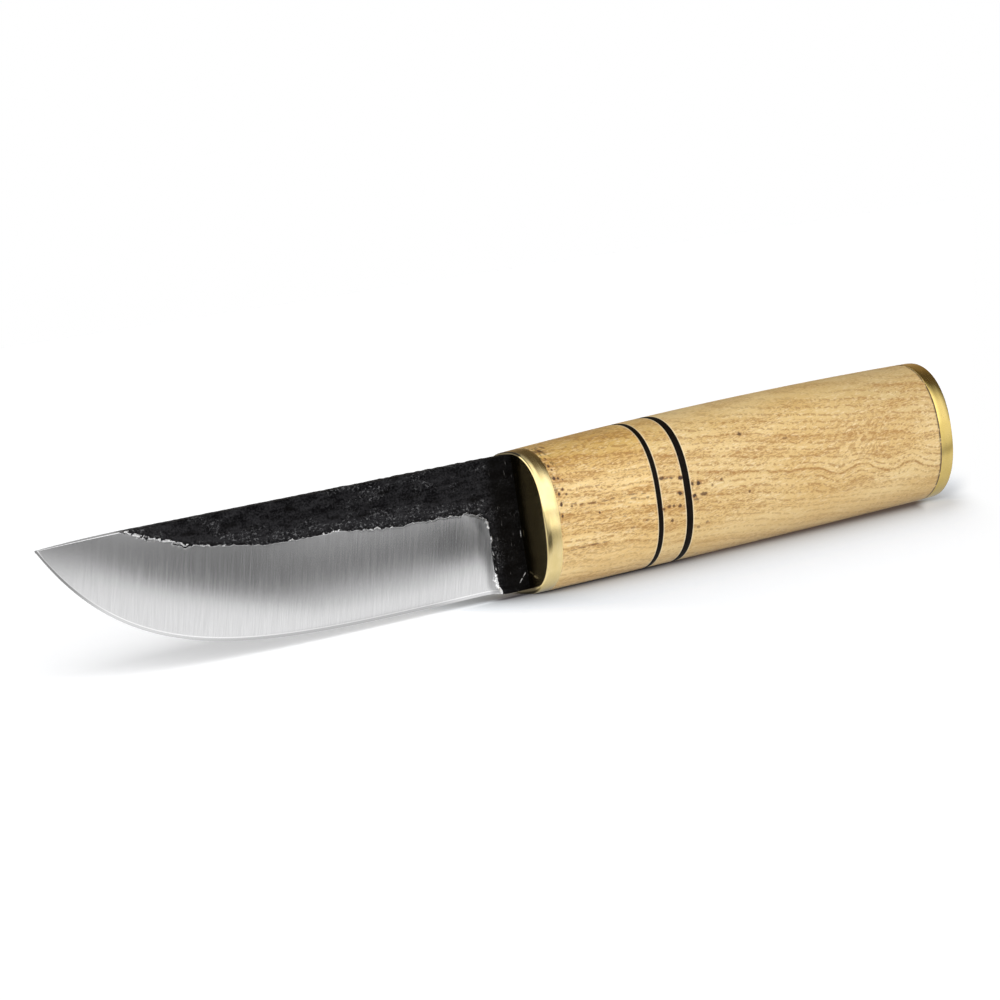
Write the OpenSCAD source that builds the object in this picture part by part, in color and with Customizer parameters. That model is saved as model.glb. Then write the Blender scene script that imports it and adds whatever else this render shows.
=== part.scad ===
// Puukko knife: a forged stick-tang blade in a stacked wood and brass handle.
// X runs from the tip to the pommel, Z from the cutting edge to the spine.
// The knife stands on the narrow flat of its belly, at the middle of its length.

/* [Blade] */
// Length from the tip to the front of the bolster
blade_len = 104; // [90:1:120]
// Thickness of the forged stock
blade_t = 4; // [3:0.1:5]
// Height of the spine above the handle axis
spine_up = 13.9; // [12:0.1:14.2]
// Depth of the straight edge below the handle axis
edge_down = 12.6; // [11:0.1:13]
// Height of the tip above the handle axis
tip_up = 13.4; // [8:0.1:13.8]
// Height of the ground bevel, measured up from the edge
bevel_h = 17.5; // [12:0.5:20]
// Belly of the bevel, proud of a flat grind at mid height
bevel_crown = 0.12; // [0:0.01:0.2]
// Height of the small sharpening bevel
micro_h = 0.6; // [0.3:0.1:1]
// Thickness at the top of the sharpening bevel
micro_t = 0.5; // [0.3:0.05:0.8]
// Unground length in front of the bolster
ricasso_len = 7.5; // [5:0.1:9]
// Depth of the ricasso below the handle axis
ricasso_down = 13.1; // [12:0.1:13.8]
// Length of the rounded corner between the ricasso's lower side and the edge
heel_len = 2.5; // [1:0.1:4]
// Radius of the plunge where the grind ends
plunge_r = 3; // [1:0.1:4]
// Broken corner along the spine
spine_break = 0.35; // [0.1:0.05:0.6]
// Hollow of the hammered flats at the spine and the edge, against mid height
flat_crown = 0.06; // [0.02:0.01:0.15]

/* [Tang] */
// Height of the tang at the shoulders
tang_front_h = 14; // [10:0.5:18]
// Height of the tang at its peened end
tang_rear_h = 7; // [5:0.5:9]
// Thickness of the tang
tang_t = 3.6; // [2.4:0.1:4]
// Room for the bedding on every side of the tang
bedding_gap = 0.7; // [0.4:0.1:1.2]

/* [Handle stack] */
// Length of the handle, bolster and pommel plate included
handle_len = 110; // [100:1:125]
// Thickness of the brass bolster
bolster_t = 3.6; // [2:0.1:6]
// Length of the wood block behind the bolster
front_block_len = 24; // [15:0.5:30]
// Thickness of the front liner
front_spacer_t = 1; // [0.6:0.1:2]
// Length of the wood ring between the liners
ring_len = 6.2; // [4:0.1:10]
// Thickness of the rear liner
rear_spacer_t = 1.5; // [0.6:0.1:2]
// Thickness of the brass pommel plate
pommel_t = 3.6; // [2:0.1:6]
// Broken edge around the outer rim of each brass plate
rim_break = 0.3; // [0.1:0.1:0.6]

/* [Handle section] */
// Width at the bolster
front_w = 20.6; // [18:0.1:24]
// Width at mid length
mid_w = 22.4; // [20:0.1:26]
// Width at the pommel
rear_w = 21.4; // [18:0.1:26]
// Back line above the axis, at the bolster
front_up = 14.3; // [14.2:0.1:16]
// Back line above the axis, at mid length
mid_up = 16.2; // [14.5:0.1:18]
// Back line above the axis, at the pommel
rear_up = 16.15; // [14:0.05:18]
// Belly line below the axis, at the bolster
front_down = 14.3; // [14:0.1:16]
// Belly line below the axis, at mid length
mid_down = 14.15; // [13.5:0.05:16]
// Belly line below the axis, at the pommel
rear_down = 13.55; // [12:0.05:16]
// Squareness of the section at the bolster, 2 for an ellipse
front_squareness = 2.5; // [2:0.05:3]
// Squareness of the section at the pommel, 2 for an ellipse
rear_squareness = 2.25; // [2:0.05:3]
// Depth sanded off the belly, which gives the flat that the knife stands on
belly_cut = 0.1; // [0.05:0.01:0.3]

/* [Hidden] */

// Number of points around a handle section, and the longest step between two sections
section_points = 64;
section_step = 6;
// Sections along the ground bevel, through the plunge, and round the ricasso's lower corner
bevel_steps = 28;
plunge_steps = 8;
heel_steps = 3;
// Half thickness of the cutting edge
edge_half = 0.04;

// Front face of the bolster, with the origin at the middle of the knife's length
bolster_x = (blade_len - handle_len) / 2;
axis_z = front_down - belly_cut;

// Places along the handle, from the front face of the bolster
front_block_x = bolster_t;
front_spacer_x = front_block_x + front_block_len;
ring_x = front_spacer_x + front_spacer_t;
rear_spacer_x = ring_x + ring_len;
main_block_x = rear_spacer_x + rear_spacer_t;
pommel_x = handle_len - pommel_t;

// Controls of the edge curve, from the heel at the plunge to the tip
heel_x = -ricasso_len - plunge_r;
edge_controls = [
    [heel_x, -edge_down],
    [-0.58 * blade_len, -edge_down],
    [-0.845 * blade_len, -edge_down - 0.9],
    [-blade_len, tip_up]
];

// Parabola through three values, at the front, the middle and the rear of the handle
function along(front, mid, rear, x) =
    let (s = 2 * x / handle_len - 1)
    mid + (rear - front) / 2 * s + ((front + rear) / 2 - mid) * s * s;

function signed_power(v, p) = sign(v) * pow(abs(v), p);

// One section of the handle, drawn in by inset all round
function handle_section(x, inset = 0) =
    let (
        half_w = along(front_w, mid_w, rear_w, x) / 2 - inset,
        up = along(front_up, mid_up, rear_up, x) - inset,
        down = along(front_down, mid_down, rear_down, x) - inset,
        power = 2 / (front_squareness + (rear_squareness - front_squareness) * x / handle_len)
    )
    [
        for (i = [0 : section_points - 1])
            let (a = 360 * (i + 0.5) / section_points)
            [
                x,
                half_w * signed_power(cos(a), power),
                (up - down) / 2 + (up + down) / 2 * signed_power(sin(a), power)
            ]
    ];

// Point of a cubic curve through four controls
function bezier(p, t) =
    pow(1 - t, 3) * p[0] + 3 * pow(1 - t, 2) * t * p[1] + 3 * (1 - t) * t * t * p[2] + t * t * t * p[3];

// The spine is straight, and falls a little over the last part of its length
function spine_z(x) =
    let (s = max(0, (-x / blade_len - 0.8) / 0.2))
    spine_up + (tip_up - spine_up) * s * s;

// Half thickness of the forged stock at a height, on a blade of height full_h
function forged_half(h, full_h) = blade_t / 2 - flat_crown * pow(2 * h / full_h - 1, 2);

// Half thickness of the ground blade at a height above its edge
function ground_half(h, full_h) =
    let (
        s = (h - micro_h) / (bevel_h - micro_h),
        line_half = forged_half(min(bevel_h, full_h), full_h)
    )
    h < micro_h ? edge_half + (micro_t / 2 - edge_half) * h / micro_h
    : s < 1 ? micro_t / 2 + (line_half - micro_t / 2) * s + 4 * bevel_crown * s * (1 - s)
    : forged_half(h, full_h);

// One section of the blade: grind is 1 on the bevel, and 0 on the ricasso
function blade_section(x, bottom_z, grind) =
    let (
        top_z = spine_z(x),
        h = top_z - bottom_z,
        break_h = min(spine_break, 0.1 * h),
        line_h = min(bevel_h, h - 2 * break_h),
        low_h = min(micro_h, 0.2 * h),
        heights = [
            0,
            low_h,
            for (k = [1 : 4]) low_h + (line_h - low_h) * k / 4,
            h - break_h,
            h
        ],
        halves = [
            for (k = [0 : len(heights) - 1])
                let (
                    forged = forged_half(heights[k], h),
                    ground = ground_half(heights[k], h),
                    corner = k == len(heights) - 1 ? 0.9 * break_h * ground / forged : 0
                )
                forged + (ground - forged) * grind - corner
        ],
        last = len(heights) - 1
    )
    [
        for (k = [0 : last]) [x, halves[k], bottom_z + heights[k]],
        for (k = [last : -1 : 0]) [x, -halves[k], bottom_z + heights[k]]
    ];

// The grind runs out to full thickness on a quarter round
function grind_at(x) =
    let (s = min(1, max(0, (x - heel_x) / plunge_r)))
    sqrt(1 - s * s);

// Solid skinned over a row of sections that all have the same number of points.
// It starts in a flat end, or in a point if tip is given.
module loft(rings, tip) {
    n = len(rings[0]);
    last = len(rings) - 1;
    tip_index = n * len(rings);
    front = is_undef(tip)
        ? [[for (i = [0 : n - 1]) i]]
        : [for (i = [0 : n - 1]) [tip_index, i, (i + 1) % n]];
    side = [
        for (r = [0 : last - 1])
            for (i = [0 : n - 1])
                let (j = (i + 1) % n, a = r * n, b = (r + 1) * n)
                each [[a + i, b + i, b + j], [a + i, b + j, a + j]]
    ];
    rear = [for (i = [n - 1 : -1 : 0]) last * n + i];
    polyhedron(
        points = [
            for (ring = rings) each ring,
            if (!is_undef(tip)) tip
        ],
        faces = concat(front, side, [rear]),
        convexity = 4
    );
}

// Puts a piece that is drawn from the bolster's face and the handle axis in its place
module placed() {
    translate([bolster_x, 0, axis_z]) children();
}

// Tang from the shoulders to the pommel's outer face, grown by gap on every side
module tang_shape(gap = 0, from = 0, to = handle_len) {
    function half_h(x) = (tang_front_h + (tang_rear_h - tang_front_h) * x / handle_len) / 2 + gap;
    rotate([90, 0, 0])
        linear_extrude(height = tang_t + 2 * gap, center = true)
            polygon([
                [from, -half_h(from)],
                [to, -half_h(to)],
                [to, half_h(to)],
                [from, half_h(from)]
            ]);
}

// One piece of the handle stack, with an optional broken rim at either end
module stack_piece(from, to, front_break = 0, rear_break = 0) {
    first = from + front_break;
    last = to - rear_break;
    steps = ceil((last - first) / section_step);
    difference() {
        loft([
            if (front_break > 0) handle_section(from, front_break),
            for (k = [0 : steps]) handle_section(first + (last - first) * k / steps),
            if (rear_break > 0) handle_section(to, rear_break)
        ]);
        translate([-handle_len, -front_w, -axis_z - front_w])
            cube([3 * handle_len, 2 * front_w, front_w]);
    }
}

// Piece of wood or liner, slotted for the tang and its bedding
module slotted_piece(from, length) {
    difference() {
        stack_piece(from, from + length);
        tang_shape(bedding_gap, from - 1, from + length + 1);
    }
}

module blade() {
    color("#6d6d70")
        placed()
            union() {
                loft(
                    [
                        for (k = [bevel_steps - 1 : -1 : 1])
                            let (p = bezier(edge_controls, k / bevel_steps))
                            blade_section(p[0], p[1], 1),
                        for (k = [0 : plunge_steps])
                            let (x = heel_x + plunge_r * k / plunge_steps)
                            blade_section(x, -edge_down, grind_at(x)),
                        for (k = [1 : heel_steps])
                            let (
                                x = -ricasso_len + heel_len * k / heel_steps,
                                fall = (ricasso_down - edge_down) * sin(90 * k / heel_steps)
                            )
                            blade_section(x, -edge_down - fall, 0),
                        blade_section(0, -ricasso_down, 0)
                    ],
                    tip = [-blade_len, 0, tip_up]
                );
                tang_shape(0, -ricasso_len / 2, handle_len);
            }
}

module bolster() {
    color("#c9a94e")
        placed()
            difference() {
                stack_piece(0, bolster_t, front_break = rim_break);
                tang_shape(0, -1, bolster_t + 1);
            }
}

module front_block() {
    color("#e0bd83")
        placed() slotted_piece(front_block_x, front_block_len);
}

module front_spacer() {
    color("#161414")
        placed() slotted_piece(front_spacer_x, front_spacer_t);
}

module handle_ring() {
    color("#e0bd83")
        placed() slotted_piece(ring_x, ring_len);
}

module rear_spacer() {
    color("#161414")
        placed() slotted_piece(rear_spacer_x, rear_spacer_t);
}

module main_block() {
    color("#e0bd83")
        placed() slotted_piece(main_block_x, pommel_x - main_block_x);
}

module pommel_plate() {
    color("#c9a94e")
        placed()
            difference() {
                stack_piece(pommel_x, handle_len, rear_break = rim_break);
                tang_shape(0, pommel_x - 1, handle_len + 1);
            }
}

module tang_bedding() {
    color("#8a7a58")
        placed()
            difference() {
                tang_shape(bedding_gap, bolster_t, pommel_x);
                tang_shape(0, bolster_t - 1, pommel_x + 1);
            }
}

blade();
bolster();
front_block();
front_spacer();
handle_ring();
rear_spacer();
main_block();
pommel_plate();
tang_bedding();
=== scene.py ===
import math

import bmesh
import bpy
import numpy as np
from mathutils import Matrix, Vector


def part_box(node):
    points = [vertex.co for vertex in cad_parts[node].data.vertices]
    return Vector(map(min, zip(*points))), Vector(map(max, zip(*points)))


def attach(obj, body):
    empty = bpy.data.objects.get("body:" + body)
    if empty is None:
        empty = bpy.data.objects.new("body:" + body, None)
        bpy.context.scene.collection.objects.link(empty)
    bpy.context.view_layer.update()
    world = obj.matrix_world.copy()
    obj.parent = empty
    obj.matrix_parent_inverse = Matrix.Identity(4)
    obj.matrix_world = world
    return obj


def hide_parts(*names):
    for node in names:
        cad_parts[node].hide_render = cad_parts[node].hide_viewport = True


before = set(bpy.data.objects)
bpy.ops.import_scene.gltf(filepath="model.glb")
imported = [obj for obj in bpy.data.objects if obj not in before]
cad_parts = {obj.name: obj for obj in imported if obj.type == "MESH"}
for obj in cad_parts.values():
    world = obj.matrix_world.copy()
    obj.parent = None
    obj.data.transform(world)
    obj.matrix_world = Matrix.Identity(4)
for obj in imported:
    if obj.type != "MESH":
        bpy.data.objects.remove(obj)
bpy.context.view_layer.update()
bpy.context.scene.view_settings.view_transform = "Standard"
mm = 0.001  # shapes are worked out in millimetres, the frame is in metres
print("frame loaded with", len(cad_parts), "nodes")


def smoothStep(low, high, value):
    s = np.clip((value - low) / (high - low), 0, 1)
    return s * s * (3 - 2 * s)


def lumps(seed, u, v):
    # smooth random field between -1 and 1, one lump per unit
    table = np.random.default_rng(seed).uniform(-1, 1, (256, 256))
    i, j = np.floor(u).astype(int), np.floor(v).astype(int)
    s, t = u - i, v - j
    s, t = s * s * (3 - 2 * s), t * t * (3 - 2 * t)
    a = table[i % 256, j % 256] * (1 - s) + table[(i + 1) % 256, j % 256] * s
    b = table[i % 256, (j + 1) % 256] * (1 - s) + table[(i + 1) % 256, (j + 1) % 256] * s
    return a * (1 - t) + b * t


def addNode(tree, kind, inputs=None, **settings):
    node = tree.nodes.new(kind)
    for key, value in settings.items():
        setattr(node, key, value)
    for key, value in (inputs or {}).items():
        if isinstance(value, bpy.types.NodeSocket):
            tree.links.new(value, node.inputs[key])
        else:
            node.inputs[key].default_value = value
    return node


def calc(tree, operation, a, b=0.0, clamp=False):
    return addNode(tree, "ShaderNodeMath", {0: a, 1: b}, operation=operation, use_clamp=clamp).outputs[0]


def sums(tree):
    # short forms of the commonest sums
    def times(a, b):
        return calc(tree, "MULTIPLY", a, b)

    def plus(a, b):
        return calc(tree, "ADD", a, b)

    def less(a, b):
        return calc(tree, "SUBTRACT", a, b)

    def offFrom(a, b):
        return calc(tree, "ABSOLUTE", less(a, b))

    return times, plus, less, offFrom


def fadeTo(tree, value, low, high):
    # 0 at low and 1 at high, smooth between
    return addNode(
        tree, "ShaderNodeMapRange", {0: value, 1: low, 2: high}, interpolation_type="SMOOTHSTEP"
    ).outputs[0]


def rangeTo(tree, value, low, high):
    # spreads a 0 to 1 pattern over low to high
    return addNode(tree, "ShaderNodeMapRange", {0: value, 1: 0.0, 2: 1.0, 3: low, 4: high}).outputs[0]


def tint(tree, amount, a, b, blend="MIX"):
    rgba = [c if isinstance(c, bpy.types.NodeSocket) else (*c, 1.0) for c in (a, b)]
    node = addNode(tree, "ShaderNodeMix", {0: amount, 6: rgba[0], 7: rgba[1]}, data_type="RGBA")
    node.blend_type = blend
    return node.outputs[2]


def mixValue(tree, amount, a, b):
    return addNode(tree, "ShaderNodeMix", {0: amount, 2: a, 3: b}, data_type="FLOAT").outputs[0]


def millimetres(tree):
    # the place on the piece, in millimetres of the row frame
    place = addNode(tree, "ShaderNodeTexCoord").outputs["Object"]
    return addNode(tree, "ShaderNodeVectorMath", {0: place, 3: 1000.0}, operation="SCALE").outputs[0]


def stretched(tree, place, perMm, turn=(0, 0, 0), shift=(0, 0, 0)):
    # pattern cells per millimetre along each axis, after a turn in degrees
    turned = addNode(
        tree, "ShaderNodeMapping", {0: place, 1: shift, 2: [math.radians(a) for a in turn]}
    ).outputs[0]
    return addNode(tree, "ShaderNodeVectorMath", {0: turned, 1: perMm}, operation="MULTIPLY").outputs[0]


def grainAt(tree, place, detail=2.0, rough=0.5):
    return addNode(
        tree, "ShaderNodeTexNoise", {"Vector": place, "Scale": 1.0, "Detail": detail, "Roughness": rough}
    ).outputs[0]


def newFinish(name):
    finish = bpy.data.materials.new(name)
    finish.use_nodes = True
    return finish, finish.node_tree, finish.node_tree.nodes["Principled BSDF"]


def bumpFrom(tree, shader, height, deep, strength=1.0):
    # deep is the relief in millimetres
    bump = addNode(tree, "ShaderNodeBump", {"Height": height, "Distance": deep * mm, "Strength": strength})
    tree.links.new(bump.outputs[0], shader.inputs["Normal"])


def setShader(tree, shader, **sockets):
    names = {
        "colour": "Base Color", "metal": "Metallic", "rough": "Roughness", "shine": "Specular IOR Level",
    }
    for key, value in sockets.items():
        if isinstance(value, bpy.types.NodeSocket):
            tree.links.new(value, shader.inputs[names[key]])
        else:
            shader.inputs[names[key]].default_value = value


def mixShader(tree, amount, a, b):
    return addNode(tree, "ShaderNodeMixShader", {0: amount, 1: a.outputs[0], 2: b.outputs[0]})


def finishMesh(name, points, faces, finish, node, sharpAngle=38):
    mesh = bpy.data.meshes.new(name)
    mesh.from_pydata([tuple(p) for p in np.asarray(points) * mm], [], faces)
    work = bmesh.new()
    work.from_mesh(mesh)
    bmesh.ops.recalc_face_normals(work, faces=work.faces)
    work.to_mesh(mesh)
    work.free()
    mesh.polygons.foreach_set("use_smooth", [True] * len(mesh.polygons))
    mesh.set_sharp_from_angle(angle=math.radians(sharpAngle))
    mesh.materials.append(finish)
    piece = bpy.data.objects.new(name, mesh)
    bpy.context.scene.collection.objects.link(piece)
    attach(piece, "root")
    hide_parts(node)
    return piece


# camera at the photograph's viewing angle, and plain studio surroundings
view = {
    "place": (-0.341497, -0.484632, 0.069209),
    "right": (0.80574, -0.57351, -0.14788),
    "up": (0.16936, -0.01614, 0.98542),
    "lens": 108.0,
    "sensor": 36.0,
}
camera = bpy.data.objects.new("camera", bpy.data.cameras.new("camera"))
bpy.context.scene.collection.objects.link(camera)
bpy.context.scene.camera = camera
camera.data.lens = view["lens"]
camera.data.sensor_width = view["sensor"]
camera.data.clip_start = 0.01
viewRight = Vector(view["right"]).normalized()
viewUp = Vector(view["up"])
viewUp = (viewUp - viewRight * viewUp.dot(viewRight)).normalized()
turned = Matrix((viewRight, viewUp, viewRight.cross(viewUp))).transposed()
camera.matrix_world = Matrix.Translation(view["place"]) @ turned.to_4x4()
print("camera placed")

studio = {
    "skyFill": 0.37,       # soft light from all round, on matt surfaces
    "lamps": (             # level, spread, where from, and whether it is for the floor
        ("keyLamp", 3.38, 56, (-0.30, -0.93, 0.17), "EXCLUDE"),
        ("backLamp", 1.15, 56, (0.05, 0.90, 0.42), "EXCLUDE"),
        ("floorLamp", 5.5, 40, (-0.50, -0.84, 0.30), "INCLUDE"),
    ),
    "floorReach": 6.0,     # metres each way
    "floorWhite": 0.248,   # own light of the floor, as the camera sees it
    "floorMatt": (0.90, 0.905, 0.915),
    "bounce": 0.50,        # what the floor sends back up to the handle
    "contactReach": 0.10,  # the handle dims the floor this far round it
    "contactFrom": (-26, -7),  # starting before the bolster
    "contactLeast": (102.5, 107.5, 0.56),  # but less under the raised end by the pommel
    "contactTint": (0.045, 0.050, 0.062),
    "contactPower": 1.35,
    "contactGlow": 0.072,  # wood-coloured light in the deepest shade, along the rear half
    "glowFrom": (26, 46),
    "glowTint": (1.15, 0.80, 0.58),
    "shadeEnd": (113.0, 8.0, 0.98),  # no shade past the pommel: from, softness, and lean of that line
    "frontSoft": 0.25,               # the line is softer on the camera's side
    "rearShade": ((60, 112), (-4, 9), (36, 8), 0.22),  # more shade just behind the pommel
    "shadeTint": (0.955, 0.980, 1.010),  # the shade is a little blue
    "skyShine": (          # what polished metal sees, from the camera's side to behind
        (0.00, 1.95), (0.13, 1.90), (0.18, 1.22), (0.25, 0.42), (0.32, 0.11), (0.43, 0.06),
        (0.66, 0.08), (0.83, 0.10), (0.88, 0.16), (0.92, 0.30), (1.00, 0.50),
    ),
    "endShine": (          # the same towards the pommel's end
        (0.00, 1.20), (0.17, 1.20), (0.25, 0.38), (0.31, 0.09), (0.46, 0.08),
        (0.55, 0.14), (0.64, 0.24), (0.72, 0.25), (0.79, 0.34), (0.86, 0.42), (1.00, 0.55),
    ),
    "boxEnd": (0.57, 0.68),           # where that takes over
    "rimLight": (-0.30, -0.45, 1.8),  # a lit patch to the left, on the bolster's edge
    "dimTint": (1.0, 0.72, 0.42),     # the dark side of the studio is warm to the right
    "dimFrom": ((0.26, 0.36), (0.36, 0.46)),  # by depth and to the side
    "tipShine": (          # but pale in the blade's spine near the tip
        (0.00, 1.95), (0.13, 1.90), (0.30, 1.65), (0.44, 0.80), (0.56, 0.48), (0.90, 0.42), (1.00, 0.42),
    ),
    "tipFrom": (0.49, 0.455),         # within these two sides
    "tipTo": (0.30, 0.38),
    "bladeFloor": (        # the floor in the blade, by distance from the knife in millimetres
        (0, 1.05), (14, 1.00), (18, 0.82), (22, 0.72), (29, 0.50), (38, 0.29), (47, 0.22),
        (60, 0.20), (80, 0.19), (110, 0.18), (150, 0.35), (200, 1.00),
    ),
    "midLift": (46, 72, -56, -26, (1.88,) * 3),  # brighter far out, beside the blade's middle
    "heelFloor": (         # the same by the plunge
        (0, 1.05), (14, 1.02), (18, 0.96), (23.5, 0.80), (29, 0.42), (34, 0.15), (41, 0.09),
        (60, 0.09), (74, 0.12), (88, 0.40), (100, 1.00), (140, 1.60), (200, 1.80),
    ),
    "brassFloor": (        # in the bolster and the wood
        (0, 0.10), (3, 0.25), (5, 0.54), (7, 0.75), (11, 0.98), (23, 0.95), (34, 0.82), (44, 0.76),
        (50, 0.65), (60, 0.66), (72, 0.80), (84, 0.95), (95, 1.22), (110, 1.55), (140, 2.05), (200, 2.20),
    ),
    "endFloor": (          # in the pommel
        (0, 0.40), (4, 0.47), (7, 0.60), (11, 0.74), (16, 0.80), (25, 0.84), (31, 0.58),
        (36, 0.48), (42, 0.62), (54, 0.84), (104, 1.00), (200, 1.10),
    ),
    "heelFrom": (-6, 4),
    "brassFrom": (11.4, 14),          # where the blade's floor gives way
    "outwardLean": (33.0, 0.62),      # those two lean outward about this distance
    "endFrom": (90, 106),
    "dimStrip": (-38, -74, 54),       # towards the tip the dim strip moves out by the last
    "contact": (9, 2, 0.70),          # the floor is dim close under the blade
}


def shadeRamp(tree, value, stops):
    ramp = addNode(tree, "ShaderNodeValToRGB", {0: value})
    points = ramp.color_ramp.elements
    while len(points) < len(stops):
        points.new(0.5)
    for point, (place, level) in zip(points, stops):
        point.position = place
        point.color = (level, level, level, 1.0)
    return ramp.outputs[0]


def makeSurroundings():
    world = bpy.data.worlds.new("studio")
    bpy.context.scene.world = world
    world.use_nodes = True
    tree = world.node_tree
    tree.nodes.clear()
    times, plus = sums(tree)[:2]
    ray = addNode(tree, "ShaderNodeLightPath").outputs
    heading = addNode(tree, "ShaderNodeTexCoord").outputs["Generated"]
    sideways, depth = addNode(tree, "ShaderNodeSeparateXYZ", {0: heading}).outputs[:2]
    depth = plus(times(depth, 0.5), 0.5)
    shine = tint(
        tree, fadeTo(tree, sideways, *studio["boxEnd"]),
        shadeRamp(tree, depth, studio["skyShine"]), shadeRamp(tree, depth, studio["endShine"]),
    )
    byDepth, bySide = studio["dimFrom"]
    warm = times(fadeTo(tree, depth, *byDepth), fadeTo(tree, sideways, *bySide))
    shine = tint(tree, warm, shine, studio["dimTint"], "MULTIPLY")
    atTip = times(*(fadeTo(tree, sideways, *studio[end]) for end in ("tipFrom", "tipTo")))
    shine = tint(tree, atTip, shine, shadeRamp(tree, depth, studio["tipShine"]))
    first, last, level = studio["rimLight"]
    shine = tint(tree, fadeTo(tree, sideways, first, last), shine, (level,) * 3)
    seen = tint(tree, ray["Is Glossy Ray"], (studio["skyFill"],) * 3, shine)
    seen = tint(tree, ray["Is Camera Ray"], seen, (1.0, 1.0, 1.0))
    background = addNode(tree, "ShaderNodeBackground", {"Color": seen, "Strength": 1.0})
    output = addNode(tree, "ShaderNodeOutputWorld")
    tree.links.new(background.outputs[0], output.inputs[0])


def makeFloor():
    mesh = bpy.data.meshes.new("floor")
    reach = studio["floorReach"]
    corners = [(x * reach, y * reach, 0) for x, y in ((-1, -1), (1, -1), (1, 1), (-1, 1))]
    mesh.from_pydata(corners, [], [(0, 1, 2, 3)])
    floor = bpy.data.objects.new("floor", mesh)
    bpy.context.scene.collection.objects.link(floor)
    finish, tree, shader = newFinish("paleFloor")
    tree.nodes.remove(shader)
    mesh.materials.append(finish)
    times, plus, less = sums(tree)[:3]
    ray = addNode(tree, "ShaderNodeLightPath").outputs
    along, across = addNode(tree, "ShaderNodeSeparateXYZ", {0: millimetres(tree)}).outputs[:2]
    first, soft, lean = studio["shadeEnd"]
    slant = less(along, times(across, lean))
    soft = plus(calc(tree, "MAXIMUM", times(across, -studio["frontSoft"]), 0.0), soft)
    past = fadeTo(tree, calc(tree, "DIVIDE", less(slant, first), soft), 0.0, 1.0)
    beyond, start, stop, deep = studio["rearShade"]
    rear = times(fadeTo(tree, across, *start), fadeTo(tree, across, *stop))
    rear = times(times(rear, fadeTo(tree, along, *beyond)), deep)
    across = calc(tree, "ABSOLUTE", across)
    first, last, moved = studio["dimStrip"]
    outward = times(fadeTo(tree, along, first, last), moved)

    def byDistance(distance, name):
        reachMm = studio[name][-1][0]
        stops = [(far / reachMm, level) for far, level in studio[name]]
        return shadeRamp(tree, calc(tree, "DIVIDE", distance, reachMm), stops)

    shine = byDistance(less(across, outward), "bladeFloor")
    first, last, level = studio["contact"]
    shine = tint(tree, fadeTo(tree, across, first, last), shine, (level,) * 3, "MULTIPLY")
    about, lean = studio["outwardLean"]
    beside = less(along, times(less(across, about), lean))
    near, far, first, last, level = studio["midLift"]
    lifted = times(fadeTo(tree, across, near, far), fadeTo(tree, beside, first, last))
    shine = tint(tree, lifted, shine, level, "MULTIPLY")
    shine = tint(tree, fadeTo(tree, beside, *studio["heelFrom"]), shine, byDistance(across, "heelFloor"))
    shine = tint(tree, fadeTo(tree, beside, *studio["brassFrom"]), shine, byDistance(across, "brassFloor"))
    shine = tint(tree, fadeTo(tree, along, *studio["endFrom"]), shine, byDistance(across, "endFloor"))
    clear = addNode(tree, "ShaderNodeAmbientOcclusion", {"Distance": studio["contactReach"]}).outputs["AO"]
    clear = calc(tree, "POWER", clear, studio["contactPower"])
    clear = mixValue(tree, fadeTo(tree, along, *studio["contactFrom"]), 1.0, clear)
    first, last, least = studio["contactLeast"]
    clear = calc(tree, "MAXIMUM", clear, times(fadeTo(tree, slant, first, last), least))
    clear = times(clear, less(1.0, rear))
    pale = tint(tree, clear, studio["contactTint"], studio["floorMatt"])
    pale = tint(tree, fadeTo(tree, clear, 0.98, 0.82), pale, studio["shadeTint"], "MULTIPLY")
    matt = addNode(tree, "ShaderNodeBsdfDiffuse", {"Color": pale})
    glow = calc(tree, "POWER", less(1.0, clear), 2.0)
    atRear = rangeTo(tree, fadeTo(tree, along, *studio["glowFrom"]), 0.1, 1.0)
    glow = times(glow, times(atRear, studio["contactGlow"]))
    level = plus(times(clear, studio["floorWhite"]), glow)
    warmed = tint(tree, fadeTo(tree, clear, 0.0, 0.5), studio["glowTint"], (1.0, 1.0, 1.0))
    ownLight = addNode(tree, "ShaderNodeEmission", {"Color": warmed, "Strength": level})
    lit = addNode(tree, "ShaderNodeAddShader", {0: matt.outputs[0], 1: ownLight.outputs[0]})
    white = addNode(tree, "ShaderNodeEmission", {"Strength": 1.0})
    toCamera = mixShader(tree, past, lit, white)
    bounce = addNode(tree, "ShaderNodeBsdfDiffuse", {"Color": (*(studio["bounce"],) * 3, 1.0)})
    inMetal = addNode(tree, "ShaderNodeEmission", {"Color": shine, "Strength": 1.0})
    both = mixShader(tree, ray["Is Glossy Ray"], bounce, inMetal)
    whole = mixShader(tree, ray["Is Camera Ray"], both, toCamera)
    tree.links.new(whole.outputs[0], tree.nodes["Material Output"].inputs[0])
    return floor


def makeLamps(floor):
    for name, level, spread, heading, floorState in studio["lamps"]:
        lamp = bpy.data.objects.new(name, bpy.data.lights.new(name, "SUN"))
        lamp.data.energy = level
        lamp.data.angle = math.radians(spread)
        lamp.rotation_euler = Vector(heading).to_track_quat("Z", "Y").to_euler()
        lamp.location = Vector(heading)
        lamp.visible_glossy = False
        bpy.context.scene.collection.objects.link(lamp)
        group = bpy.data.collections.new(name + "Reach")
        group.objects.link(floor)
        group.collection_objects[0].light_linking.link_state = floorState
        lamp.light_linking.receiver_collection = group


makeSurroundings()
makeLamps(makeFloor())
print("studio built")

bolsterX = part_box("bolster")[0].x / mm  # front face of the bolster
axisZ = 14.2  # handle axis above the floor

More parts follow.
